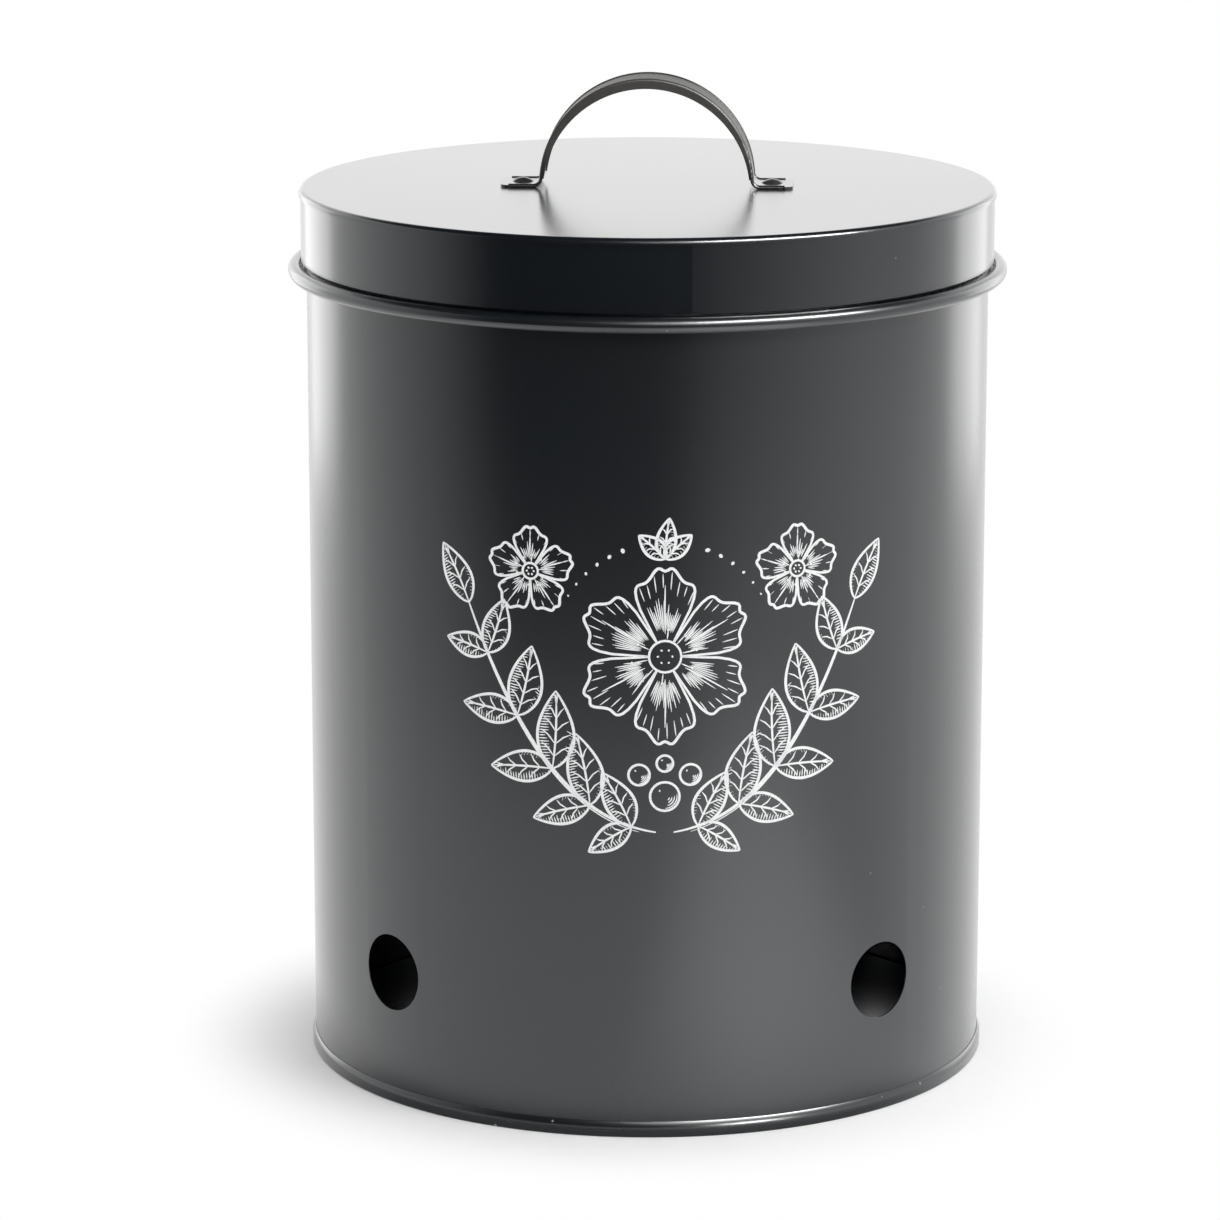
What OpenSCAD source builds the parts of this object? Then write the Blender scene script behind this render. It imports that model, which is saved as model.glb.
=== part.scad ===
// Potato storage bin: a round sheet steel canister with a stop bead below its neck, a seamed base
// and four vent holes, closed by a lift-off lid that carries a riveted strap handle.
// Millimetres, +Z up, front towards -Y. The origin is the centre of the base ring on the floor.

/* [Sheet] */
// Thickness of the painted sheet of the body, the base and the lid
sheet_t = 0.5; // [0.4:0.05:0.8]
// Gap left between two layers of sheet that are folded or nested
fold_gap = 0.1; // [0.05:0.05:0.2]
// How far the covering end stands proud at a lapped side seam
lap_t = 0.4; // [0.2:0.05:0.8]
// Width of a lapped side seam
lap_w = 7; // [4:0.5:12]

/* [Body] */
// Outside diameter of the straight wall
body_d = 240; // [200:5:300]
// Height of the mouth rim above the floor
mouth_z = 309.5; // [260:0.1:360]
// Height of the neck, from the centre of the bead up to the mouth rim
neck_h = 27.3; // [18:0.1:40]
// Diameter of the section of the round stop bead
bead_d = 5.3; // [4:0.1:6.5]
// How far the stop bead stands out from the wall
bead_out = 6.5; // [6:0.1:9]
// Height of the slot at the root of the bead, inside the bin
bead_slot = 0.8; // [0.4:0.1:1.2]
// Diameter of the mouth rim, which is rolled inwards
curl_d = 3; // [2.4:0.1:4]

/* [Vents] */
// Diameter of a vent hole
vent_d = 27; // [15:0.5:40]
// Height of the vent centres above the floor
vent_z = 46.7; // [30:0.1:70]
// Number of vent holes round the wall
vent_n = 4; // [2:1:8]

/* [Base] */
// Height of the rolled seam that joins the base to the wall
seam_h = 5.4; // [4:0.1:8]
// Depth by which the base panel is set up from the floor
base_rise = 4; // [2:0.5:8]
// Radius of the bend between the base panel and its rim
base_bend = 1.5; // [1:0.1:1.8]
// Diameter of the pressed stiffening ring in the base panel
rib_d = 140; // [100:2:190]
// Radius of the section of the stiffening ring
rib_r = 4; // [3:0.5:6]
// Height of the stiffening ring above the base panel
rib_h = 1.4; // [0.8:0.1:2]

/* [Lid] */
// Radial clearance between the neck and the hem inside the lid
lid_slip = 0.8; // [0.5:0.1:2]
// Clearance between the mouth rim and the flange inside the lid
lid_gap = 0.35; // [0.3:0.05:1]
// Clearance between the top of the bead and the skirt of the lid
skirt_gap = 0.3; // [0.3:0.05:2]
// Height of the hem folded up inside the skirt
hem_h = 5; // [3:0.5:10]
// Outer radius of the lid's top edge
lid_edge_r = 2; // [1.2:0.1:3]
// Height of the straight lip that hangs from the lid's rounded edge over the band
lip_h = 0.4; // [0.2:0.1:3]
// Width of the flange that the band turns in under the disc
flange_w = 4; // [2:0.5:8]
// Where the lapped seam of the band ends, in degrees to the right of the front
band_seam_a = 9.5; // [0:0.5:180]

/* [Handle] */
// Thickness of the handle strap
strap_t = 0.9; // [0.7:0.1:2]
// Width of the handle strap
strap_w = 20; // [14:1:30]
// Outer radius of the handle's arch
arch_r = 37.7; // [28:0.1:48]
// Height of the arch above the top of the lid
arch_h = 38.5; // [30:0.5:50]
// Depth of the turned-down edge at the crown
edge_crown = 3.6; // [2.4:0.1:6]
// Depth of the turned-down edge at the foot of the arch
edge_leg = 1.5; // [1.4:0.1:2.3]
// Radius of the round along both long edges of the strap
edge_r = 0.9; // [0.7:0.1:1.2]
// How far that round stands above the strap's flat face
rim_h = 0.4; // [0.1:0.1:0.6]
// Radius of the bend between the arch and a foot
bend_r = 2.5; // [1.5:0.5:4]
// Distance from the bend of the strap to the head of a rivet
rivet_x = 0.35; // [0.1:0.05:6]
// Distance from a rivet to the end of its foot
foot_end = 7.5; // [6:0.5:12]
// Radius of a foot's corners
foot_corner = 3; // [1:0.5:5]

/* [Rivets] */
// Diameter of a rivet's shank
rivet_d = 4; // [3:0.1:5]
// Radial clearance of the shank in its hole
rivet_clear = 0.1; // [0.05:0.05:0.2]
// Diameter of a rivet's domed head
head_d = 7.5; // [6:0.5:10]
// Height of a rivet's domed head
head_h = 1.5; // [1:0.1:3]
// Diameter of the tail set under the lid
tail_d = 6.5; // [5.5:0.1:8]
// Height of the tail set under the lid
tail_h = 1.2; // [0.8:0.1:2]
// Radius of the tail's lower edge
tail_round = 0.4; // [0.2:0.1:0.6]

/* [Hidden] */
$fn = 180;
// Overshoot that lets a cut pass its faces
cut = 1;

// Wall and neck
body_r = body_d / 2;
wall_in = body_r - sheet_t;
wall_z = sheet_t + fold_gap;
bead_z = mouth_z - neck_h;
bead_r = bead_d / 2;
bead_x = body_r + bead_out - bead_r;
web_h = bead_slot + 2 * sheet_t;
curl_r = curl_d / 2;

// Base ring, its upper half a rounded shoulder that leans in to the wall
seam_in = body_r + fold_gap;
seam_out = body_r + 2 * sheet_t + fold_gap;
lean = seam_out - seam_in;
lean_h = seam_h / 2;
lean_z = seam_h - lean_h;
lean_r = (pow(lean_h, 2) + pow(lean, 2)) / (2 * lean);
hook_z = lean_z - fold_gap;
chuck_out = wall_in - fold_gap;
chuck_in = chuck_out - sheet_t;

// Lid, from the mouth rim upwards and from the neck outwards
flange_z = mouth_z + lid_gap;
disc_z = flange_z + sheet_t;
lid_z = disc_z + sheet_t;
hem_t = 2 * sheet_t + fold_gap;
band_r = body_r + lid_slip + hem_t;
lid_r = band_r + fold_gap + sheet_t;
lip_z = lid_z - lid_edge_r - lip_h;
shoulder_r = lid_edge_r - sheet_t - fold_gap;
skirt_z = bead_z + bead_r + skirt_gap;

// Handle, measured from the top of the lid
half_w = strap_w / 2;
web_r = arch_r - rim_h;
arch_z = arch_h - arch_r;
bend_z = strap_t + bend_r;
bend_x = sqrt(pow(web_r + bend_r, 2) - pow(bend_z - arch_z, 2));
bend_a = asin((bend_z - arch_z) / (web_r + bend_r));
inner_r = arch_r - edge_leg;
inner_drop = edge_crown - edge_leg;
// Angle by which the two halves of the arch run into each other at the crown
crown_lap = 5;
hole_d = rivet_d + 2 * rivet_clear;
rivet_at = bend_x + rivet_x + head_d / 2;
foot_x = rivet_at + foot_end;

PAINT = [0.15, 0.16, 0.165];
PAINT_LID = [0.19, 0.20, 0.205];
RIVET_GREY = [0.24, 0.25, 0.26];

// A plane rectangle between two corners
module slab(from, to) {
    translate(from)
        square(to - from);
}

// A quarter of a round bend in sheet, in the quadrant that starts at angle turn
module bend(outer_r, turn = 0) {
    rotate(turn)
        intersection() {
            difference() {
                circle(outer_r);
                circle(outer_r - sheet_t);
            }
            square(outer_r);
        }
}

// The covering end of a lapped seam: it rises from the round wall and ends in a step at angle end
module lap(radius, z_low, z_high, end) {
    span = lap_w / radius * 180 / PI;
    start = end - span;
    shift = lap_t / sin(span);
    reach = radius + 2 * lap_t;
    translate([0, 0, z_low])
        linear_extrude(z_high - z_low)
            intersection() {
                translate(shift * [-sin(start), cos(start)])
                    circle(radius);
                polygon([
                    (radius - sheet_t) * [cos(start), sin(start)],
                    reach * [cos(start), sin(start)],
                    reach * [cos(end), sin(end)],
                    (radius - sheet_t) * [cos(end), sin(end)]
                ]);
            }
}

// Body

// The round stop bead: sheet led out, round and back again, with a slot at its root
module bead_profile() {
    difference() {
        union() {
            translate([bead_x, bead_z])
                circle(bead_r);
            slab([wall_in, bead_z - web_h / 2], [bead_x, bead_z + web_h / 2]);
        }
        translate([bead_x, bead_z])
            circle(bead_r - sheet_t);
        slab([wall_in - cut, bead_z - bead_slot / 2], [bead_x, bead_z + bead_slot / 2]);
    }
}

// The mouth rim: the sheet rolled inwards, ending just clear of the neck
module curl_profile() {
    translate([body_r - curl_r, mouth_z - curl_r])
        difference() {
            circle(curl_r);
            circle(curl_r - sheet_t);
            slab([curl_r / 3, -curl_r], [curl_r - sheet_t, 0]);
        }
}

module wall_profile() {
    slab([wall_in, wall_z], [body_r, bead_z - web_h / 2]);
    slab([body_r, wall_z], [body_r + sheet_t, hook_z]);
    bead_profile();
    slab([wall_in, bead_z + web_h / 2], [body_r, mouth_z - curl_r]);
    curl_profile();
}

module vents() {
    for (i = [0 : vent_n - 1])
        rotate(45 + i * 360 / vent_n)
            translate([body_r, 0, vent_z])
                rotate([0, 90, 0])
                    cylinder(d = vent_d, h = body_r, center = true);
}

module bin_wall() {
    color(PAINT)
        difference() {
            union() {
                rotate_extrude()
                    wall_profile();
                lap(body_r, seam_h + fold_gap, bead_z - bead_r, 90);
            }
            vents();
        }
}

// Base

// The outer leg of the seam, upright beside the hook of the wall and leaning in above it
module seam_profile() {
    slab([seam_out - sheet_t, sheet_t], [seam_out, lean_z]);
    intersection() {
        translate([seam_out - lean_r, lean_z])
            difference() {
                circle(lean_r);
                circle(lean_r - sheet_t);
            }
        slab([seam_in, lean_z], [seam_out, seam_h]);
    }
}

// The foot of the seam, flat on the floor between two rounded edges
module foot_profile() {
    slab([chuck_in + sheet_t, 0], [seam_out - sheet_t, sheet_t]);
    translate([seam_out - sheet_t, sheet_t])
        bend(sheet_t, -90);
    translate([chuck_in + sheet_t, sheet_t])
        bend(sheet_t, 180);
}

module panel_profile() {
    bend_x0 = chuck_out - base_bend;
    slab([chuck_in, sheet_t], [chuck_out, base_rise + sheet_t - base_bend]);
    translate([bend_x0, base_rise + sheet_t - base_bend])
        bend(base_bend);
    difference() {
        union() {
            slab([0, base_rise], [bend_x0, base_rise + sheet_t]);
            translate([rib_d / 2, base_rise])
                intersection() {
                    translate([0, rib_h - rib_r])
                        circle(rib_r + sheet_t);
                    slab([-2 * rib_r, 0], [2 * rib_r, 2 * rib_r]);
                }
        }
        translate([rib_d / 2, base_rise + rib_h - rib_r])
            circle(rib_r);
    }
}

module base_pan() {
    color(PAINT)
        rotate_extrude() {
            seam_profile();
            foot_profile();
            panel_profile();
        }
}

// Lid

module disc_profile() {
    edge_x = lid_r - lid_edge_r;
    slab([0, disc_z], [edge_x, lid_z]);
    translate([edge_x, lid_z - lid_edge_r])
        bend(lid_edge_r);
    slab([lid_r - sheet_t, lip_z], [lid_r, lid_z - lid_edge_r]);
}

module lid_disc() {
    color(PAINT_LID)
        difference() {
            rotate_extrude()
                disc_profile();
            for (side = [-1, 1])
                translate([side * rivet_at, 0, disc_z - cut])
                    cylinder(d = hole_d, h = sheet_t + 2 * cut);
        }
}

// The hem folded up inside the foot of the skirt
module hem_profile() {
    fold_x = band_r - hem_t / 2;
    translate([fold_x, skirt_z + hem_t / 2])
        difference() {
            circle(hem_t / 2);
            circle(fold_gap / 2);
            slab([-hem_t, 0], [hem_t, hem_t]);
        }
    slab([band_r - hem_t, skirt_z + hem_t / 2], [band_r - hem_t + sheet_t, skirt_z + hem_h]);
}

module band_profile() {
    shoulder_x = band_r - shoulder_r;
    shoulder_z = disc_z - shoulder_r;
    hem_profile();
    slab([band_r - sheet_t, skirt_z + hem_t / 2], [band_r, shoulder_z]);
    translate([shoulder_x, shoulder_z])
        bend(shoulder_r);
    slab([shoulder_x - flange_w, disc_z - sheet_t], [shoulder_x, disc_z]);
}

module lid_band() {
    color(PAINT)
        union() {
            rotate_extrude()
                band_profile();
            lap(band_r, skirt_z + hem_t / 2, lip_z - fold_gap, band_seam_a - 90);
        }
}

// Handle

// Section of the arch's edges: rounds along both long edges, which turn down as flanges
module edge_section() {
    difference() {
        union() {
            slab([arch_r - edge_crown, -half_w], [arch_r - edge_r, half_w]);
            for (side = [-1, 1])
                translate([arch_r - edge_r, side * (half_w - edge_r)])
                    circle(edge_r);
        }
        slab([0, 2 * edge_r - half_w], [arch_r, half_w - 2 * edge_r]);
        slab([0, strap_t - half_w], [web_r - strap_t, half_w - strap_t]);
    }
}

// Section of the flat strap, its face at x = 0 and its back at x = strap_t
module foot_section() {
    slab([0, edge_r - half_w], [strap_t, half_w - edge_r]);
    intersection() {
        for (side = [-1, 1])
            translate([edge_r - rim_h, side * (half_w - edge_r)])
                circle(edge_r);
        slab([-rim_h, -half_w], [strap_t, half_w]);
    }
}

// The right half of the arch and its bend, in the arch's own plane and turned to where they meet
module arch_half() {
    crown_a = 90 - bend_a + crown_lap;
    difference() {
        rotate_extrude(angle = crown_a)
            edge_section();
        rotate(-bend_a)
            translate([0, -inner_drop])
                cylinder(r = inner_r, h = strap_w + 2 * cut, center = true);
    }
    rotate_extrude(angle = crown_a)
        slab([web_r - strap_t, edge_r - half_w], [web_r, half_w - edge_r]);
    translate([web_r + bend_r, 0])
        rotate(180)
            rotate_extrude(angle = 90 - bend_a)
                translate([bend_r, 0])
                    foot_section();
}

// A flat foot with rounded outer corners, rounded edges and a rivet hole. A tongue in the middle of
// the sheet runs on into the bend.
module foot_plate() {
    edge_end = foot_x - foot_corner;
    tongue = strap_t / 2;
    difference() {
        union() {
            translate([bend_x - tongue, edge_r - half_w, strap_t / 3])
                cube([2 * tongue, strap_w - 2 * edge_r, strap_t / 3]);
            linear_extrude(strap_t) {
                slab([bend_x, edge_r - half_w], [edge_end, half_w - edge_r]);
                slab([edge_end, foot_corner - half_w], [foot_x, half_w - foot_corner]);
                intersection() {
                    for (side = [-1, 1])
                        translate([edge_end, side * (half_w - foot_corner)])
                            circle(foot_corner);
                    slab([edge_end - edge_r, -half_w], [foot_x, half_w]);
                }
            }
            translate([bend_x, 0, strap_t])
                rotate([0, 90, 0])
                    linear_extrude(edge_end - bend_x)
                        foot_section();
        }
        translate([rivet_at, 0, -cut])
            cylinder(d = hole_d, h = strap_t + 2 * cut);
    }
}

module handle_strap() {
    color(PAINT)
        translate([0, 0, lid_z])
            for (turn = [0, 180])
                rotate(turn) {
                    translate([0, 0, arch_z])
                        rotate([90, 0, 0])
                            rotate(bend_a)
                                arch_half();
                    foot_plate();
                }
}

// Rivets

// Half section of a rivet that grips the strap's foot and the lid disc
module rivet_profile() {
    dome_r = (pow(head_d / 2, 2) + pow(head_h, 2)) / (2 * head_h);
    foot_top = lid_z + strap_t;
    translate([0, foot_top])
        intersection() {
            translate([0, head_h - dome_r])
                circle(dome_r);
            square([head_d / 2, head_h]);
        }
    slab([0, disc_z], [rivet_d / 2, foot_top]);
    slab([0, disc_z - tail_h], [tail_d / 2 - tail_round, disc_z]);
    slab([0, disc_z - tail_h + tail_round], [tail_d / 2, disc_z]);
    translate([tail_d / 2 - tail_round, disc_z - tail_h + tail_round])
        intersection() {
            circle(tail_round);
            slab([0, -tail_round], [tail_round, 0]);
        }
}

module rivet(x) {
    color(RIVET_GREY)
        translate([x, 0, 0])
            rotate_extrude()
                rivet_profile();
}

module rivet_left() {
    rivet(-rivet_at);
}

module rivet_right() {
    rivet(rivet_at);
}

bin_wall();
base_pan();
lid_disc();
lid_band();
handle_strap();
rivet_left();
rivet_right();
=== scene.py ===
"""A black steel potato storage bin with a white line print, in a plain pale studio."""

import math
import random

import bpy
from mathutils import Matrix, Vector


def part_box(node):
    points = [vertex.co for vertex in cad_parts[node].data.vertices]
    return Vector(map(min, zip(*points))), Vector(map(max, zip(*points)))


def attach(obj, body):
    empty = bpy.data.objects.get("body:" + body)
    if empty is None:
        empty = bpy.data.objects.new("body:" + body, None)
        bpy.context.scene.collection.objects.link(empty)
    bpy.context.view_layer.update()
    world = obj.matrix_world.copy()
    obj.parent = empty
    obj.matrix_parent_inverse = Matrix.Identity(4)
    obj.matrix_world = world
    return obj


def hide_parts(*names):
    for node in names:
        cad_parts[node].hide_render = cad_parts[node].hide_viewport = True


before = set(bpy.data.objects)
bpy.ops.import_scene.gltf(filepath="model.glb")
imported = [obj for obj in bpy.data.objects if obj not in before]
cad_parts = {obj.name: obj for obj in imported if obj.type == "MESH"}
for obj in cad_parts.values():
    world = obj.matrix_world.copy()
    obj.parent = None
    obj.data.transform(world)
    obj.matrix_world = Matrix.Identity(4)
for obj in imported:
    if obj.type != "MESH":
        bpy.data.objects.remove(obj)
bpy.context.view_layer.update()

MM = 0.001
BIN = "bin"
LID = "lid"
WHITE = (1.0, 1.0, 1.0, 1.0)

# The wall that the print lies on, read from the frame: the bead stands BEAD_OUT proud of it
BEAD_OUT = 6.5 * MM
WALL_R = (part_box("bin_wall")[1].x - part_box("bin_wall")[0].x) / 2 - BEAD_OUT
LID_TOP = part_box("lid_disc")[1].z

# Sheet of the lid and the base
SHEET = 0.5 * MM
FOLD_GAP = 0.1 * MM
LATHE_STEPS = 240
SHARP_ANGLE = math.radians(32)
LID_EDGE = 2 * MM
RIVET_HOLE_R = 2.1 * MM
HOLE_STEPS = 48
SEAM_HEIGHT = 5.4 * MM
SEAM_LEAN = 2 * SHEET
BASE_RISE = 4 * MM
BASE_BEND = 1.5 * MM
RIB_AT = 70 * MM
RIB_R = 4 * MM
RIB_HEIGHT = 1.4 * MM

# Paints: the darkest and the lightest colour of the ground, its roughness, and the strength of the
# orange peel
BODY_PAINT = ((0.0002, 0.0030, 0.0062), (0.0010, 0.0044, 0.0080), 0.27, 0.12)
LID_PAINT = ((0.0002, 0.0026, 0.0058), (0.0008, 0.0038, 0.0076), 0.22, 0.08)
HANDLE_PAINT = ((0.010, 0.0097, 0.0095), (0.016, 0.0155, 0.0150), 0.24, 0.02)
PAINT_IOR = 1.5
# The roughness of the clear skin against that of the ground, which the smears change by this much
SKIN_SHINE = 0.85
SMEAR_CHANGE = (-0.012, 0.014)
PEEL_DEPTH = 0.02 * MM
GRAIN_DEPTH = 0.25
# Towards its crown the handle is rougher and, in patches, lighter: a painted sheen. The heights,
# the roughness and the colour that it reaches, and the share of that colour in its patches
WEAR_AND_SHEEN_HEIGHTS = (LID_TOP + 2 * MM, LID_TOP + 14 * MM)
WORN_ROUGHNESS = 0.42
CROWN_SHEEN_COLOUR = (0.042, 0.039, 0.036, 1.0)
SHEEN_SHARE = (0.6, 1.0)
# Specks of dust lie in those cells of a pattern whose chance is above a limit. Near the floor they
# are chips in the paint, larger and in more of the cells
DUST_COLOUR = (0.26, 0.26, 0.25, 1.0)
DUST_SCALE = 160.0
DUST_SIZE = 0.035
DUST_LIMIT = 0.93
CHIP_HEIGHTS = (3 * MM, 6.5 * MM)
CHIP_GROWTH = 0.05
CHIP_SHARE = 0.45
# The ink's colour where it is thin and where it is full
INK_THIN = (0.74, 0.755, 0.765)
INK_FULL = (0.89, 0.90, 0.90)
INK_IOR = 1.45
INK_ROUGHNESS = (0.42, 0.55)
INK_DEPTH = 0.01 * MM
# The rivets, with faint dents in their heads
RIVET_DARK = (0.022, 0.023, 0.024)
RIVET_LIGHT = (0.05, 0.05, 0.052)
RIVET_ROUGHNESS = (0.24, 0.36)
DENT_DEPTH = 0.08 * MM
# Noises: scale, detail and roughness. Most of their values lie in NOISE_SPAN
NOISE_SPAN = (0.3, 0.7)
CLOUD_NOISE = (14.0, 4.0, 0.55)
SMEAR_NOISE = (6.0, 3.0, 0.5)
SHEEN_PATCH_NOISE = (90.0, 3.0, 0.6)
PEEL_NOISE = (420.0, 2.0, 0.5)
GRAIN_NOISE = (2600.0, 1.0, 0.5)
LACQUER_NOISE = (500.0, 3.0, 0.5)
DENT_NOISE = (900.0, 2.0, 0.5)
INK_NOISE = (1500.0, 3.0, 0.6)
DRIFT_NOISE = (60.0, 2.0, 0.5)

# Photograph
CAMERA_LENS = 156.49
SENSOR_WIDTH = 36.0
CAMERA_DISTANCE = 1848.7 * MM
CAMERA_SIDE = 30.7 * MM
CAMERA_HEIGHT = 583.6 * MM
CAMERA_PITCH = math.radians(12.98)
CAMERA_YAW = math.radians(1.36)
CAMERA_CLIP = (0.05, 50.0)
# How far round the bin's axis the camera stands, which shows the bin slightly turned
BIN_TURN = math.radians(1.6)

# Studio: a screen of dark gauze stands on the floor in front, thickest just left of the camera, and
# a canopy of it hangs overhead. Each stop is an azimuth in degrees, 0 in front and 90 on the right,
# with the gauze's cover there.
SCREEN_R = 0.65
SCREEN_FOOT = 0.001
SCREEN_H = 0.90
SCREEN_SPAN = 120
SCREEN_STEPS = 96
SCREEN_COVER = ((-112, 0.0), (-90, 0.16), (-68, 0.44), (-48, 0.92), (-36, 1.3), (4, 1.3),
                (12, 1.02), (24, 0.72), (38, 0.46), (55, 0.20), (72, 0.0), (100, 0.0))
# The share of its cover that it has at the floor, and the height at which it has all of it
SCREEN_THIN = 0.62
SCREEN_FULL_AT = 0.17
# A second layer of it hangs on the right. It starts at the first height and is whole at the second
SCREEN_HEAD = (0.13, 0.20)
SCREEN_SIDES = ((15, 0.0), (35, 0.18), (90, 0.24), (112, 0.0))
CANOPY_R = (0.75, 1.05)
CANOPY_COVER = 1.0
# A piece of it lies on the floor under the front of the foot: painted shade in the base seam's
# gloss. It thins out between two radii, and towards the back between two places on the Y axis
FOOT_GAUZE_R = (0.130, 0.150)
FOOT_GAUZE_Y = (-0.10, -0.045)
FOOT_GAUZE_Z = 0.3 * MM
FOOT_GAUZE_COVER = 0.60
GAUZE_COLOUR = (0.05, 0.05, 0.05, 1.0)
FLAT_STEPS = 64
# The pool of light on the floor: azimuth and distance of its middle, its width and its length, and
# its brightness there
POOL_AT = (34, 0.42)
POOL_SIZE = (0.44, 0.70)
POOL_LEVEL = 0.85
POOL_Z = 0.002
# The paper is lost in the white background between these two radii
FLOOR_R = 2.4
FLOOR_STEPS = 128
FLOOR_FADE = (0.12, 0.175)
PAPER_COLOUR = (0.95, 0.95, 0.95, 1.0)
# The world's strength for all rays that don't see it directly or mirrored
WORLD_LEVEL = 0.8
# The height on the bin's axis that the lamps look at
LAMP_AIM = 0.16

# Print, measured on the unrolled wall from its front line
PRINT_X = 11.5 * MM
PRINT_Z = 157 * MM
INK_LIFT = 0.03 * MM
INK_THICKNESS = 0.05 * MM
INK_STEP = 1.3 * MM
INK_SEED = 7
# The drawing is made in millimetres, measured from PRINT_X and PRINT_Z. First its pens' widths
PEN_STEM = 1.3
PEN_OUTLINE = 1.0
PEN_BERRY = 0.85
PEN_CORE = 0.8
PEN_RIB = 0.75
PEN_FOLD = 0.55
PEN_VEIN = 0.5
PEN_THIN = 0.45
PEN_HATCH = 0.42
PEN_TIP = 0.4
PEN_FAINT = 0.36
# Blossoms and berries: middle and radius
BLOSSOM = (0, 12, 32)
BLOSSOM_PETALS = 6
SIDE_BLOSSOM = (46, 40, 16)
BERRIES = ((0, -36.5, 5.0), (-8.7, -29, 3.6), (8.7, -29, 3.6), (0, -25, 2.8))
# Leaves of a branch: place along its stem, length and width
BRANCH_LEAVES = ((0.10, 21, 10), (0.30, 25, 12), (0.50, 27, 13), (0.70, 25, 12), (0.88, 20, 10))
TIP_LEAF = (22, 10)
# Leaves of the sprig: heading in degrees, length and the side that is shaded
SPRIG_AT = (0, 45.5)
SPRIG_LEAVES = ((90, 14, 1), (48, 12, 1), (132, 12, -1))
SPRIG_WIDTH = 6.5
# Dots on either side of the sprig: the circle that they lie on, their number, the first one's angle
# from upright and the step to the next, and the first one's size and how much smaller the next is
DOT_CIRCLE = (0, 13, 38)
DOT_COUNT = 6
DOT_ANGLES = (22, 7.5)
DOT_SIZES = (1.5, 0.17)


# Nodes

class Graph:
    """The nodes of a material or of the world. Its helpers add nodes and return their outputs."""

    def __init__(self, tree, output):
        self.nodes = tree.nodes
        self.links = tree.links
        self.nodes.clear()
        self.output = self.nodes.new(output)

    def fill(self, node, inputs):
        """Sets the node's inputs, given by name or number, or links those given a socket."""
        for name, value in inputs.items():
            if isinstance(value, bpy.types.NodeSocket):
                self.links.new(value, node.inputs[name])
            else:
                node.inputs[name].default_value = value
        return node

    def add(self, kind, inputs):
        return self.fill(self.nodes.new(kind), inputs)

    def show(self, shader):
        self.links.new(shader, self.output.inputs["Surface"])

    def place(self, kind="Object"):
        return self.nodes.new("ShaderNodeTexCoord").outputs[kind]

    def axes(self, place):
        """The place's X, Y and Z."""
        return self.add("ShaderNodeSeparateXYZ", {"Vector": place}).outputs

    def radius(self, place):
        """The place's distance from the Z axis."""
        axes = self.axes(place)
        flat = self.add("ShaderNodeCombineXYZ", {"X": axes["X"], "Y": axes["Y"]})
        length = self.nodes.new("ShaderNodeVectorMath")
        length.operation = "LENGTH"
        return self.fill(length, {0: flat.outputs["Vector"]}).outputs["Value"]

    def math(self, operation, *values, clamp=False):
        node = self.nodes.new("ShaderNodeMath")
        node.operation = operation
        node.use_clamp = clamp
        return self.fill(node, dict(enumerate(values))).outputs[0]

    def map_range(self, value, low, high, to_low, to_high, smooth=False):
        node = self.nodes.new("ShaderNodeMapRange")
        node.interpolation_type = "SMOOTHSTEP" if smooth else "LINEAR"
        self.fill(node, {"Value": value, "From Min": low, "From Max": high,
                         "To Min": to_low, "To Max": to_high})
        return node.outputs["Result"]

    def noise(self, place, scale, detail, roughness):
        node = self.add("ShaderNodeTexNoise", {
            "Vector": place, "Scale": scale, "Detail": detail, "Roughness": roughness})
        return node.outputs["Fac"]

    def ramp(self, factor, stops):
        """A colour for the factor, from stops of a position and a colour."""
        node = self.add("ShaderNodeValToRGB", {"Fac": factor})
        elements = node.color_ramp.elements
        while len(elements) < len(stops):
            elements.new(0.5)
        for element, (position, colour) in zip(elements, stops):
            element.position = position
            element.color = (*colour, 1.0)
        return node.outputs["Color"]

    def blend(self, factor, first, second):
        """The first colour where the factor is 0, the second where it is 1."""
        node = self.nodes.new("ShaderNodeMix")
        node.data_type = "RGBA"
        return self.fill(node, {"Factor": factor, "A": first, "B": second}).outputs["Result"]

    def pick(self, factor, first, second):
        """The first shader where the factor is 0, the second where it is 1."""
        node = self.add("ShaderNodeMixShader", {"Fac": factor, 1: first, 2: second})
        return node.outputs["Shader"]

    def diffuse(self, colour):
        return self.add("ShaderNodeBsdfDiffuse", {"Color": colour}).outputs["BSDF"]

    def clear(self):
        return self.nodes.new("ShaderNodeBsdfTransparent").outputs["BSDF"]

    def glow(self, strength):
        node = self.add("ShaderNodeEmission", {"Color": WHITE, "Strength": strength})
        return node.outputs["Emission"]

    def principled(self, inputs):
        return self.add("ShaderNodeBsdfPrincipled", inputs).outputs["BSDF"]

    def bump(self, height, strength, distance):
        node = self.add("ShaderNodeBump", {
            "Height": height, "Strength": strength, "Distance": distance})
        return node.outputs["Normal"]

    def seen_directly(self):
        """1 for the camera's rays and for those that come by a reflection or through glass."""
        path = self.nodes.new("ShaderNodeLightPath").outputs
        mirrored = self.math("ADD", path["Is Glossy Ray"], path["Is Transmission Ray"])
        return self.math("ADD", mirrored, path["Is Camera Ray"], clamp=True)


def new_material(name):
    material = bpy.data.materials.new(name)
    material.use_nodes = True
    return material, Graph(material.node_tree, "ShaderNodeOutputMaterial")


# Materials

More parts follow.
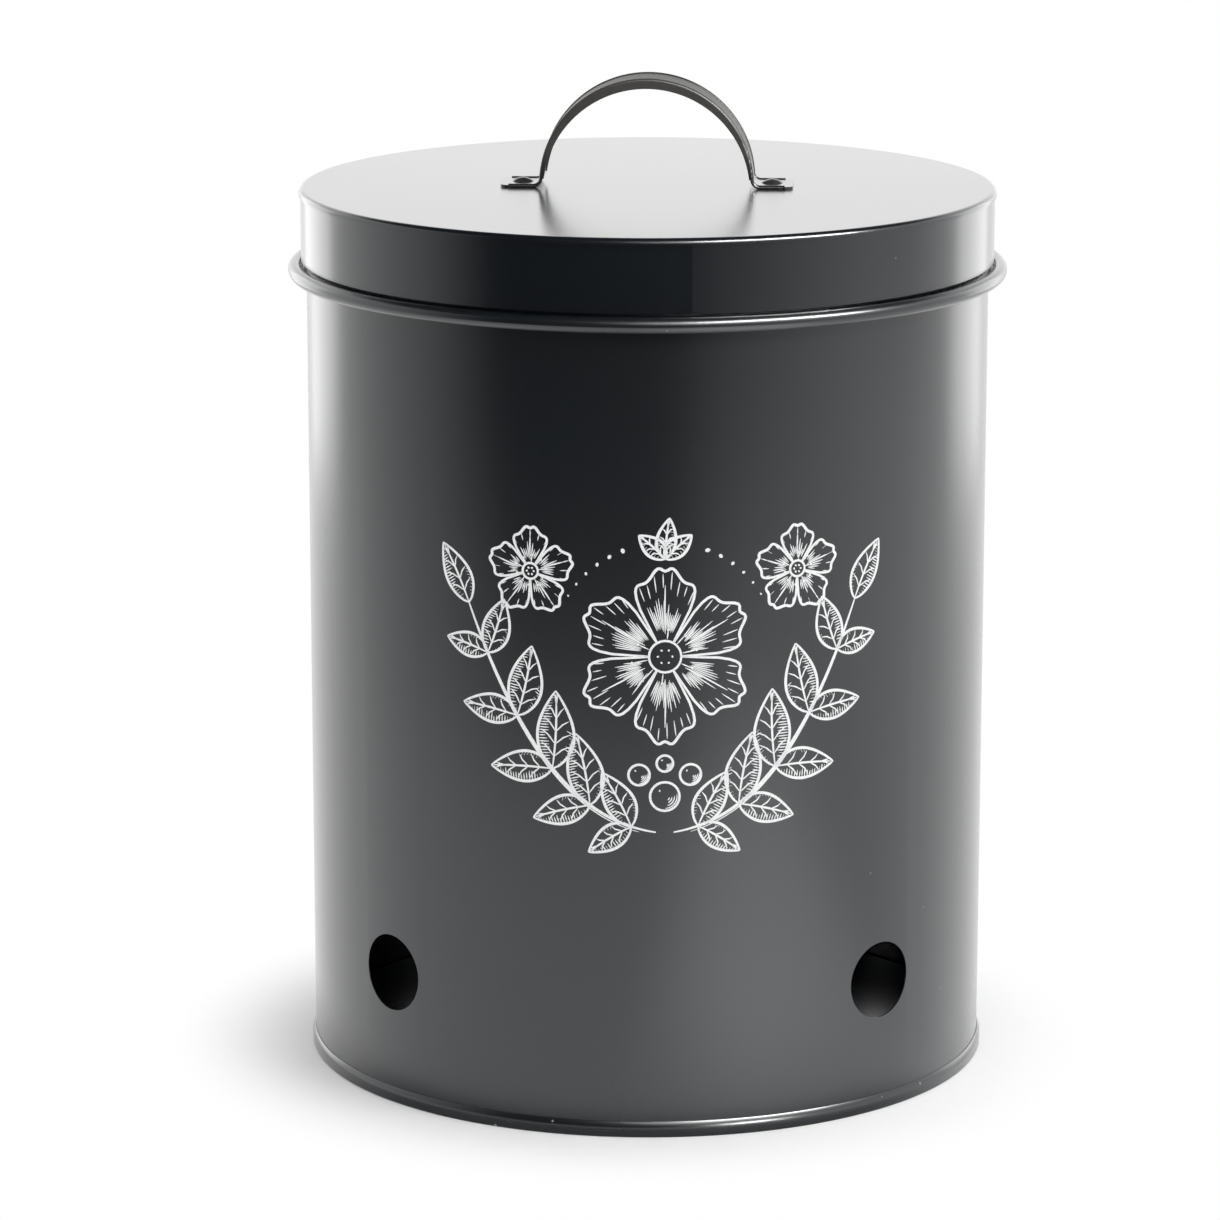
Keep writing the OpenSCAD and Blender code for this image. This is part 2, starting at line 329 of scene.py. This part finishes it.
def satin_paint(name, dark, light, roughness, peel, worn_with_sheen=False):
    """Stoved black paint: a near-black ground, a clear skin, orange peel, faint clouds and dust."""
    material, graph = new_material(name)
    place = graph.place()
    height = graph.axes(place)["Z"]

    clouds = graph.noise(place, *CLOUD_NOISE)
    ground = graph.ramp(clouds, [(0.35, dark), (0.68, light)])
    near_floor = graph.map_range(height, *CHIP_HEIGHTS, 1.0, 0.0)
    specks = graph.add("ShaderNodeTexVoronoi", {"Vector": place, "Scale": DUST_SCALE}).outputs
    size = graph.math("MULTIPLY_ADD", near_floor, CHIP_GROWTH, DUST_SIZE)
    inside = graph.math("LESS_THAN", specks["Distance"], size)
    chance = graph.add("ShaderNodeSeparateColor", {"Color": specks["Color"]}).outputs["Red"]
    limit = graph.math("MULTIPLY_ADD", near_floor, -CHIP_SHARE, DUST_LIMIT)
    dust = graph.math("MULTIPLY", inside, graph.math("GREATER_THAN", chance, limit))
    colour = graph.blend(dust, ground, DUST_COLOUR)

    smears = graph.noise(place, *SMEAR_NOISE)
    least, most = [roughness + change for change in SMEAR_CHANGE]
    rough = graph.map_range(smears, *NOISE_SPAN, least, most)
    skin = 1.0
    if worn_with_sheen:
        wear_and_sheen = graph.map_range(height, *WEAR_AND_SHEEN_HEIGHTS, 0.0, 1.0, smooth=True)
        rough = graph.math("MULTIPLY_ADD", wear_and_sheen, WORN_ROUGHNESS - roughness, rough)
        skin = graph.map_range(wear_and_sheen, 0.0, 1.0, 1.0, 0.0)
        # The lighter colour in patches towards the crown is a painted sheen
        sheen_patches = graph.map_range(graph.noise(place, *SHEEN_PATCH_NOISE), *NOISE_SPAN, *SHEEN_SHARE)
        colour = graph.blend(graph.math("MULTIPLY", wear_and_sheen, sheen_patches), colour, CROWN_SHEEN_COLOUR)

    # Orange peel, with a fine grain on it
    waves = graph.noise(place, *PEEL_NOISE)
    grain = graph.noise(place, *GRAIN_NOISE)
    relief = graph.math("MULTIPLY_ADD", grain, GRAIN_DEPTH, waves)
    normal = graph.bump(relief, peel, PEEL_DEPTH)
    graph.show(graph.principled({
        "Base Color": colour, "Roughness": rough, "IOR": PAINT_IOR, "Normal": normal,
        "Coat Weight": skin, "Coat Roughness": roughness * SKIN_SHINE, "Coat IOR": PAINT_IOR,
        "Coat Normal": normal}))
    return material


def rivet_metal():
    """Dark lacquered steel with a faintly beaten head."""
    material, graph = new_material("rivet_metal")
    place = graph.place()
    clouds = graph.noise(place, *LACQUER_NOISE)
    dents = graph.noise(place, *DENT_NOISE)
    graph.show(graph.principled({
        "Base Color": graph.ramp(clouds, [(0.3, RIVET_DARK), (0.7, RIVET_LIGHT)]),
        "Roughness": graph.map_range(clouds, *NOISE_SPAN, *RIVET_ROUGHNESS),
        "Metallic": 0.35, "Coat Weight": 0.6, "Coat Roughness": 0.16,
        "Normal": graph.bump(dents, 0.3, DENT_DEPTH)}))
    return material


def white_ink():
    """Screen-printed white: nearly opaque, a little uneven, matt beside the paint."""
    material, graph = new_material("print_ink")
    place = graph.place()
    cover = graph.noise(place, *INK_NOISE)
    drift = graph.noise(place, *DRIFT_NOISE)
    amount = graph.math("MULTIPLY_ADD", drift, 0.5, cover)
    graph.show(graph.principled({
        "Base Color": graph.ramp(amount, [(0.5, INK_THIN), (0.85, INK_FULL)]),
        "Roughness": graph.map_range(cover, *NOISE_SPAN, *INK_ROUGHNESS),
        "IOR": INK_IOR,
        "Normal": graph.bump(cover, 0.2, INK_DEPTH)}))
    return material


def dress(node, material):
    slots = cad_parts[node].data.materials
    slots.clear()
    slots.append(material)


# Objects

def add_object(name, data):
    thing = bpy.data.objects.new(name, data)
    bpy.context.scene.collection.objects.link(thing)
    return thing


def add_mesh(name, verts, faces, material):
    mesh = bpy.data.meshes.new(name)
    mesh.from_pydata(verts, [], faces)
    mesh.materials.append(material)
    return add_object(name, mesh)


# Studio

def make_camera():
    camera = add_object("camera", bpy.data.cameras.new("camera"))
    camera.data.sensor_width = SENSOR_WIDTH
    camera.data.lens = CAMERA_LENS
    camera.data.clip_start, camera.data.clip_end = CAMERA_CLIP
    side, back = CAMERA_SIDE, -CAMERA_DISTANCE
    camera.location = (side * math.cos(BIN_TURN) - back * math.sin(BIN_TURN),
                       side * math.sin(BIN_TURN) + back * math.cos(BIN_TURN), CAMERA_HEIGHT)
    camera.rotation_mode = "XYZ"
    camera.rotation_euler = (math.pi / 2 - CAMERA_PITCH, 0.0, CAMERA_YAW + BIN_TURN)
    bpy.context.scene.camera = camera


def make_world():
    """A plain white tent. What it sheds on the set is a little dimmer than the white that shows."""
    world = bpy.data.worlds.new("studio")
    bpy.context.scene.world = world
    world.use_nodes = True
    graph = Graph(world.node_tree, "ShaderNodeOutputWorld")
    level = graph.map_range(graph.seen_directly(), 0.0, 1.0, WORLD_LEVEL, 1.0)
    tent = graph.add("ShaderNodeBackground", {"Color": WHITE, "Strength": level})
    graph.show(tent.outputs["Background"])


def make_floor():
    """White paper that takes the bin's shadow and fades into the white background further out."""
    bpy.ops.mesh.primitive_circle_add(vertices=FLOOR_STEPS, radius=FLOOR_R, fill_type="NGON")
    floor = bpy.context.object
    floor.name = "floor"
    material, graph = new_material("paper")
    away = graph.map_range(graph.radius(graph.place()), *FLOOR_FADE, 0.0, 1.0, smooth=True)
    fade = graph.math("MULTIPLY", away, graph.seen_directly())
    graph.show(graph.pick(fade, graph.diffuse(PAPER_COLOUR), graph.glow(1.0)))
    floor.data.materials.append(material)


def show_gauze(graph, cover):
    """Dark net that hides as much of what is behind it as cover says."""
    graph.show(graph.pick(cover, graph.clear(), graph.diffuse(GAUZE_COLOUR)))


def hang(name, verts, faces, material):
    """A piece of the studio that only the gloss of the paint sees."""
    cloth = add_mesh(name, verts, faces, material)
    cloth.visible_camera = False
    cloth.visible_diffuse = False
    cloth.visible_shadow = False
    return cloth


def make_flat_gauze(name, fade, thick, height, front=None):
    """A level round of dark gauze, thick in the middle, that thins out between fade's two radii.

    front gives two places on the Y axis, between which it thins out towards the back.
    """
    material, graph = new_material(name)
    place = graph.place()
    cover = graph.map_range(graph.radius(place), *fade, thick, 0.0, smooth=True)
    if front:
        near = graph.map_range(graph.axes(place)["Y"], *front, 1.0, 0.0, smooth=True)
        cover = graph.math("MULTIPLY", cover, near)
    show_gauze(graph, cover)
    turns = [2 * math.pi * k / FLAT_STEPS for k in range(FLAT_STEPS)]
    verts = [(fade[1] * math.sin(a), fade[1] * math.cos(a), height) for a in turns]
    hang(name, verts, [tuple(range(FLAT_STEPS))], material)


def make_pool():
    """A pool of light on the floor on the right, which brightens the gloss low on the wall."""
    material, graph = new_material("pool")
    axes = graph.axes(graph.place("Generated"))
    square = 0.0
    for axis in ("X", "Y"):
        side = graph.math("MULTIPLY_ADD", axes[axis], 2.0, -1.0)
        square = graph.math("MULTIPLY_ADD", side, side, square)
    level = graph.map_range(square, 0.0, 1.0, POOL_LEVEL, 0.0, smooth=True)
    both = graph.add("ShaderNodeAddShader", {0: graph.clear(), 1: graph.glow(level)})
    graph.show(both.outputs["Shader"])
    wide, long = POOL_SIZE
    corners = ((-1, -1), (1, -1), (1, 1), (-1, 1))
    verts = [(x * wide / 2, y * long / 2, 0.0) for x, y in corners]
    card = hang("card", verts, [(0, 1, 2, 3)], material)
    azimuth, distance = math.radians(POOL_AT[0]), POOL_AT[1]
    card.location = (distance * math.sin(azimuth), -distance * math.cos(azimuth), POOL_Z)
    card.rotation_euler = (0.0, 0.0, azimuth)


def make_screen():
    """Dark gauze round the front of the set, out of the camera's sight, for the gloss alone."""
    material, graph = new_material("gauze")
    axes = graph.axes(graph.place())
    front = graph.math("MULTIPLY", axes["Y"], -1.0)
    azimuth = graph.math("ARCTAN2", axes["X"], front)
    turn = graph.map_range(azimuth, -math.pi, math.pi, 0.0, 1.0)

    def layer(stops, low, high, share_below):
        """A layer's cover by the azimuth, and the share of it that hangs there: all above high."""
        cover = graph.ramp(turn, [
            ((degrees + 180) / 360, (amount, amount, amount)) for degrees, amount in stops])
        return cover, graph.map_range(axes["Z"], low, high, share_below, 1.0, smooth=True)

    first = graph.math("MULTIPLY", *layer(SCREEN_COVER, 0.0, SCREEN_FULL_AT, SCREEN_THIN))
    cover, share = layer(SCREEN_SIDES, *SCREEN_HEAD, 0.0)
    show_gauze(graph, graph.math("MULTIPLY_ADD", cover, share, first, clamp=True))
    verts = []
    for k in range(SCREEN_STEPS + 1):
        a = math.radians(-SCREEN_SPAN + 2 * SCREEN_SPAN * k / SCREEN_STEPS)
        for z in (SCREEN_FOOT, SCREEN_H):
            verts.append((SCREEN_R * math.sin(a), -SCREEN_R * math.cos(a), z))
    faces = [(2 * k, 2 * k + 2, 2 * k + 3, 2 * k + 1) for k in range(SCREEN_STEPS)]
    hang("screen", verts, faces, material)


def make_light(name, heading, distance, size, power, aim=(0.0, LAMP_AIM), spread=180):
    """A soft box round the bin, out of the camera's sight.

    heading is its azimuth (0 is the front, 90 the right-hand side) and its elevation, and spread
    the width of its beam, all in degrees. size is its width and its height. It looks at aim: how
    far out from the bin's axis, on the lamp's own side, and how high up.
    """
    data = bpy.data.lights.new(name, "AREA")
    data.shape = "RECTANGLE"
    data.size, data.size_y = size
    data.energy = power
    data.spread = math.radians(spread)
    light = add_object(name, data)
    a, e = [math.radians(degrees) for degrees in heading]
    out, high = aim
    target = Vector((math.sin(a) * out, -math.cos(a) * out, high))
    away = Vector((math.sin(a) * math.cos(e), -math.cos(a) * math.cos(e), math.sin(e)))
    light.location = target + away * distance
    light.rotation_euler = (-away).to_track_quat("-Z", "Y").to_euler()
    light.visible_camera = False
    return light


def make_lights():
    # The key is a broad box for the matt surfaces and, in its place, a narrow strip for the gloss
    make_light("key_right", (50, 45), 0.9, (0.4, 0.4), 2.0).visible_glossy = False
    make_light("key_strip", (42, 42), 0.9, (0.85, 0.24), 26.0).visible_diffuse = False
    make_light("overhead", (150, 78), 1.3, (1.1, 1.1), 5.0).visible_glossy = False
    # A small lamp near the floor throws a narrow beam on the base seam, for its gloss
    seam_lamp = make_light("seam", (38, 12), 0.30, (0.22, 0.05), 0.03,
                           aim=(WALL_R, SEAM_HEIGHT / 2), spread=24)
    seam_lamp.visible_diffuse = False
    make_light("back", (180, 13), 1.5, (2.0, 0.66), 0.9)
    for name, azimuth in (("rim_left", -134), ("rim_right", 134)):
        make_light(name, (azimuth, 4), 1.1, (0.55, 0.9), 1.7)


def around(x, y, radius, a):
    """The point at angle a on a circle about x, y."""
    return x + radius * math.cos(a), y + radius * math.sin(a)


# Sheet metal: the lid's disc and the base are turned finely, so that their rounds shine evenly

def arc(centre, radius, start, end, steps):
    """Points on a round in the half section, from one angle in degrees to another."""
    turns = [math.radians(start + (end - start) * k / steps) for k in range(steps + 1)]
    return [around(*centre, radius, a) for a in turns]


def turned_sheet(name, profile, material):
    """Turns a half section about the Z axis. The profile starts and ends on the axis."""
    verts, faces, rows = [], [], []
    for r, z in profile:
        if r == 0.0:
            rows.append([len(verts)] * LATHE_STEPS)
            verts.append((0.0, 0.0, z))
            continue
        rows.append([len(verts) + k for k in range(LATHE_STEPS)])
        for k in range(LATHE_STEPS):
            a = 2 * math.pi * k / LATHE_STEPS
            verts.append((r * math.cos(a), r * math.sin(a), z))
    for low, high in zip(rows, rows[1:]):
        for k in range(LATHE_STEPS):
            n = (k + 1) % LATHE_STEPS
            # At the axis two of the corners are one, which leaves a triangle
            corners = dict.fromkeys((low[k], low[n], high[n], high[k]))
            faces.append(tuple(corners))
    return add_mesh(name, verts, faces, material)


def shade(piece):
    piece.data.shade_smooth()
    piece.data.set_sharp_from_angle(angle=SHARP_ANGLE)


def drill(piece, holes):
    """Cuts round holes down through the piece."""
    for place in holes:
        bpy.ops.mesh.primitive_cylinder_add(
            vertices=HOLE_STEPS, radius=RIVET_HOLE_R, depth=8 * SHEET, location=place)
        tool = bpy.context.object
        cut = piece.modifiers.new("hole", "BOOLEAN")
        cut.operation = "DIFFERENCE"
        cut.solver = "EXACT"
        cut.object = tool
        bpy.context.view_layer.update()
        whole = piece.evaluated_get(bpy.context.evaluated_depsgraph_get())
        drilled = bpy.data.meshes.new_from_object(whole)
        piece.modifiers.clear()
        piece.data = drilled
        bpy.data.objects.remove(tool)


def make_lid_disc(material):
    """The lid's top, with a rounded edge that is turned down and a hole for each rivet."""
    low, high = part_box("lid_disc")
    radius, top = high.x, high.z
    under, inner = top - SHEET, radius - LID_EDGE
    centre = (inner, top - LID_EDGE)
    profile = [(0.0, under), (inner - MM, under)]
    profile += arc(centre, LID_EDGE - SHEET, 90, 0, 12)
    profile += [(radius - SHEET, low.z), (radius, low.z)]
    profile += arc(centre, LID_EDGE, 0, 90, 16)
    profile += [(inner - MM, top), (0.0, top)]
    piece = turned_sheet("lid_top", profile, material)
    holes = []
    for node in ("rivet_left", "rivet_right"):
        first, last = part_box(node)
        holes.append(((first.x + last.x) / 2, (first.y + last.y) / 2, top - SHEET / 2))
    drill(piece, holes)
    shade(piece)
    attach(piece, LID)
    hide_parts("lid_disc")


def make_base(material):
    """The base pan: panel with its pressed ring, rim, foot, and the seam's leg that leans in."""
    low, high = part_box("base_pan")
    seam_out = high.x
    seam_in = seam_out - SEAM_LEAN
    rim_out = seam_in - 2 * FOLD_GAP - SHEET
    rim_in = rim_out - SHEET
    top = BASE_RISE + SHEET
    bend = (rim_out - BASE_BEND, top - BASE_BEND)
    hub = (RIB_AT, BASE_RISE + RIB_HEIGHT - RIB_R)
    lean_z = SEAM_HEIGHT / 2
    lean_r = (lean_z ** 2 + SEAM_LEAN ** 2) / (2 * SEAM_LEAN)
    lean = (seam_out - lean_r, lean_z)
    inside = math.degrees(math.asin((BASE_RISE - hub[1]) / RIB_R))
    outside = math.degrees(math.asin((top - hub[1]) / (RIB_R + SHEET)))
    lip = math.degrees(math.acos((seam_in - lean[0]) / lean_r))
    lip_in = math.degrees(math.acos((seam_in - lean[0]) / (lean_r - SHEET)))
    # Along the underside and up the seam's outer face
    profile = [(0.0, BASE_RISE), (RIB_AT - 2 * RIB_R, BASE_RISE)]
    profile += arc(hub, RIB_R, 180 - inside, inside, 16)
    profile += [(RIB_AT + 2 * RIB_R, BASE_RISE), (bend[0] - MM, BASE_RISE)]
    profile += arc(bend, BASE_BEND - SHEET, 90, 0, 8)
    profile += arc((rim_in + SHEET, SHEET), SHEET, 180, 270, 6)
    profile += arc((seam_out - SHEET, SHEET), SHEET, 270, 360, 8)
    profile += arc(lean, lean_r, 0, lip, 14)
    # Down its inner face and back along the top
    profile += arc(lean, lean_r - SHEET, lip_in, 0, 10)
    profile += [(seam_out - SHEET, SHEET), (rim_out, SHEET)]
    profile += arc(bend, BASE_BEND, 0, 90, 10)
    profile += [(bend[0] - MM, top), (RIB_AT + 2 * RIB_R, top)]
    profile += arc(hub, RIB_R + SHEET, outside, 180 - outside, 16)
    profile += [(RIB_AT - 2 * RIB_R, top), (0.0, top)]
    piece = turned_sheet("base", [(r, z + low.z) for r, z in profile], material)
    shade(piece)
    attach(piece, BIN)
    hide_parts("base_pan")


# Print: strokes are drawn in a flat frame of millimetres and rolled onto the wall

class Ink:
    """Collects tapered strokes as thin closed ribbons on the round wall."""

    def __init__(self, seed):
        self.verts = []
        self.faces = []
        self.random = random.Random(seed)

    def place(self, x, z, lift):
        angle = (PRINT_X + x * MM) / WALL_R
        radius = WALL_R + lift
        return (radius * math.sin(angle), -radius * math.cos(angle), PRINT_Z + z * MM)

    def stroke(self, points, width, ends=0.3):
        """A line through points, width wide in the middle and ends times that at its two ends."""
        points = resample(points)
        count = len(points)
        if count < 2:
            return
        base = len(self.verts)
        for i, (x, z) in enumerate(points):
            before, after = points[max(i - 1, 0)], points[min(i + 1, count - 1)]
            dx, dz = after[0] - before[0], after[1] - before[1]
            size = math.hypot(dx, dz) or 1.0
            share = i / (count - 1)
            half = width / 2 * (ends + (1 - ends) * math.sin(math.pi * share) ** 0.6)
            nx, nz = -dz / size * half, dx / size * half
            for lift in (INK_LIFT, INK_LIFT + INK_THICKNESS):
                self.verts.append(self.place(x + nx, z + nz, lift))
                self.verts.append(self.place(x - nx, z - nz, lift))
        for i in range(count - 1):
            a, b = base + 4 * i, base + 4 * i + 4
            for p, q in ((0, 1), (1, 3), (3, 2), (2, 0)):
                self.faces.append((a + p, a + q, b + q, b + p))
        last = base + 4 * (count - 1)
        self.faces.append((base + 2, base + 3, base + 1, base))
        self.faces.append((last, last + 1, last + 3, last + 2))

    def dot(self, x, z, size):
        """A short fat dab."""
        turn = self.random.uniform(0, math.pi)
        dx, dz = math.cos(turn) * size * 0.55, math.sin(turn) * size * 0.55
        self.stroke([(x - dx, z - dz), (x, z), (x + dx, z + dz)], size, 0.45)

    def piece(self, name, material):
        piece = add_mesh(name, self.verts, self.faces, material)
        piece.data.validate()
        piece.data.update()
        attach(piece, BIN)


def resample(points):
    """The same line with a point every INK_STEP or so."""
    out = [points[0]]
    for a, b in zip(points, points[1:]):
        length = math.hypot(b[0] - a[0], b[1] - a[1])
        steps = max(1, int(round(length * MM / INK_STEP)))
        for k in range(1, steps + 1):
            out.append((a[0] + (b[0] - a[0]) * k / steps, a[1] + (b[1] - a[1]) * k / steps))
    return out


def round_line(x, z, radius, start=0, end=360, step=15):
    """Points round x, z from one angle in degrees to another."""
    return [around(x, z, radius, math.radians(d)) for d in range(start, end + 1, step)]


def turned(points, origin, angle, flip):
    """The points turned about 0, 0 and carried to origin, mirrored first where flip is -1."""
    c, s = math.cos(angle), math.sin(angle)
    return [(origin[0] + x * c - z * flip * s, origin[1] + x * s + z * flip * c)
            for x, z in points]


def leaf(ink, origin, angle, length, width, flip):
    """A leaf seen flat: two edges, a midrib, side veins, and hatching on its shaded half."""
    droop = 0.10 * length
    steps = [k / 18 for k in range(19)]

    def rib(t):
        return length * t, -droop * t * t

    def edge(t, side, share=1.0):
        x, z = rib(t)
        return x, z + side * share * width / 2 * math.sin(math.pi * t ** 0.82) ** 0.9

    def draw(points, pen, ends=0.3):
        ink.stroke(turned(points, origin, angle, flip), pen, ends)

    for side in (1, -1):
        draw([edge(t, side) for t in steps], PEN_OUTLINE, 0.5)
    draw([rib(t * 0.96) for t in steps], PEN_RIB, 0.4)
    veins = max(4, int(length / 5))
    for k in range(1, veins + 1):
        t = k / (veins + 1.2)
        for side in (1, -1):
            start, end = rib(t), edge(min(t + 0.16, 0.97), side, 0.82)
            bow = ((start[0] + end[0]) / 2 + 0.6, (start[1] + end[1]) / 2)
            draw([start, bow, end], PEN_VEIN)
    hatch = int(length / 0.95)
    for k in range(1, hatch):
        t = k / hatch
        reach = ink.random.uniform(0.35, 0.78)
        draw([edge(min(t + 0.02, 1), -1, reach * 0.75), edge(t, -1, 0.97)], PEN_HATCH)
    for k in range(int(hatch * 0.45)):
        t = 0.05 + 0.5 * k / hatch / 0.45
        reach = ink.random.uniform(0.6, 0.85)
        draw([edge(t + 0.03, 1, reach), edge(t, 1, 0.96)], PEN_FAINT)


def berry(ink, x, z, radius):
    """A round berry with a highlight left bare and shading arcs down its right side."""
    ink.stroke(round_line(x, z, radius), PEN_BERRY, 0.9)
    for k in range(1, 5):
        shaded = round_line(x, z, radius * (1 - 0.17 * k), -100 + 12 * k, 30 - 9 * k, 10)
        ink.stroke(shaded, PEN_HATCH)
    ink.dot(x - radius * 0.35, z + radius * 0.4, 0.6)


def blossom(ink, x, z, radius, petals=5):
    """An open flower: broad petals with radiating hatches round a ring of stamens."""
    core = radius * 0.17
    span = math.pi / petals * 0.97
    lines = max(9, int(radius * 0.5))
    for p in range(petals):
        middle = math.pi / 2 + p * 2 * math.pi / petals

        def petal(t, share=1.0):
            notch = 0.90 + 0.10 * math.cos(2 * math.pi * t) - 0.10 * math.exp(-(t / 0.12) ** 2)
            bulge = (1 - abs(t) ** 4.5) ** 0.5
            r = core + (radius - core) * share * notch * bulge
            return around(x, z, r, middle + span * t)

        ink.stroke([petal(-1 + 2 * k / 36) for k in range(37)], PEN_OUTLINE, 0.55)
        for k in range(lines):
            t = -0.8 + 1.6 * k / (lines - 1)
            inner = ink.random.uniform(0.12, 0.2)
            outer = ink.random.uniform(0.38, 0.62)
            ink.stroke([petal(t * 0.7, inner), petal(t * 0.85, outer)], PEN_HATCH, 0.25)
            if k % 2 == 0:
                ink.stroke([petal(t, ink.random.uniform(0.7, 0.8)), petal(t, 0.95)], PEN_TIP)
        ink.stroke([petal(0, 0.1), petal(0.02, 0.45), petal(0, 0.8)], PEN_FOLD)
    ink.stroke(round_line(x, z, core), PEN_CORE, 0.9)
    for k in range(10):
        a = k * math.pi / 5 + 0.2
        tip = around(x, z, core * ink.random.uniform(1.7, 2.1), a)
        ink.stroke([around(x, z, core * 1.1, a), tip], PEN_THIN, 0.4)
        ink.dot(*tip, 0.9)
    for k in range(6):
        ink.dot(*around(x, z, core * 0.45, k * math.pi / 3), 0.7)


def branch(ink, side):
    """One half of the garland: a stem that sweeps up and outwards, with leaves on both sides."""
    def stem(t):
        return side * (3 + 66 * t ** 0.9), -49 + 16 * t + 60 * t ** 2.2

    def heading(start, end):
        return math.atan2(end[1] - start[1], end[0] - start[0])

    ink.stroke([stem(k / 30) for k in range(31)], PEN_STEM, 0.35)
    ink.stroke([(stem(k / 30)[0], stem(k / 30)[1] - 1.1) for k in range(2, 24)], PEN_THIN)
    for t, length, width in BRANCH_LEAVES:
        here, ahead = stem(t), stem(t + 0.02)
        for spread, share in ((0.85, 1.0), (-0.80, 0.82)):
            angle = heading(here, ahead) + side * spread
            leaf(ink, here, angle, length * share, width * share, side)
    leaf(ink, stem(1.0), heading(stem(0.97), stem(1.0)), *TIP_LEAF, side)


def make_print(material):
    """A garland: a wide flower between two leafy branches, two small ones, berries and a sprig."""
    ink = Ink(seed=INK_SEED)
    x, z, radius = SIDE_BLOSSOM
    (first_angle, angle_step), (first_size, size_step) = DOT_ANGLES, DOT_SIZES
    for side in (1, -1):
        branch(ink, side)
        blossom(ink, side * x, z, radius)
        for k in range(DOT_COUNT):
            a = math.radians(90 - side * (first_angle + angle_step * k))
            ink.dot(*around(*DOT_CIRCLE, a), first_size - size_step * k)
    blossom(ink, *BLOSSOM, BLOSSOM_PETALS)
    for turn, length, flip in SPRIG_LEAVES:
        leaf(ink, SPRIG_AT, math.radians(turn), length, SPRIG_WIDTH, flip)
    for place in BERRIES:
        berry(ink, *place)
    ink.piece("white_print", material)


# Scene

bpy.context.scene.view_settings.view_transform = "Standard"
make_camera()
make_world()
make_floor()
make_screen()
make_flat_gauze("canopy", CANOPY_R, CANOPY_COVER, SCREEN_H)
make_flat_gauze("foot_shade_gauze", FOOT_GAUZE_R, FOOT_GAUZE_COVER, FOOT_GAUZE_Z, FOOT_GAUZE_Y)
make_pool()
make_lights()

body_paint = satin_paint("body_paint", *BODY_PAINT)
lid_paint = satin_paint("lid_paint", *LID_PAINT)
handle_paint = satin_paint("handle_paint", *HANDLE_PAINT, worn_with_sheen=True)
for node, material in (
        ("bin_wall", body_paint), ("base_pan", body_paint),
        ("lid_disc", lid_paint), ("lid_band", lid_paint),
        ("handle_strap", handle_paint)):
    dress(node, material)
make_lid_disc(lid_paint)
make_base(body_paint)
rivet = rivet_metal()
for node in ("rivet_left", "rivet_right"):
    dress(node, rivet)
make_print(white_ink())
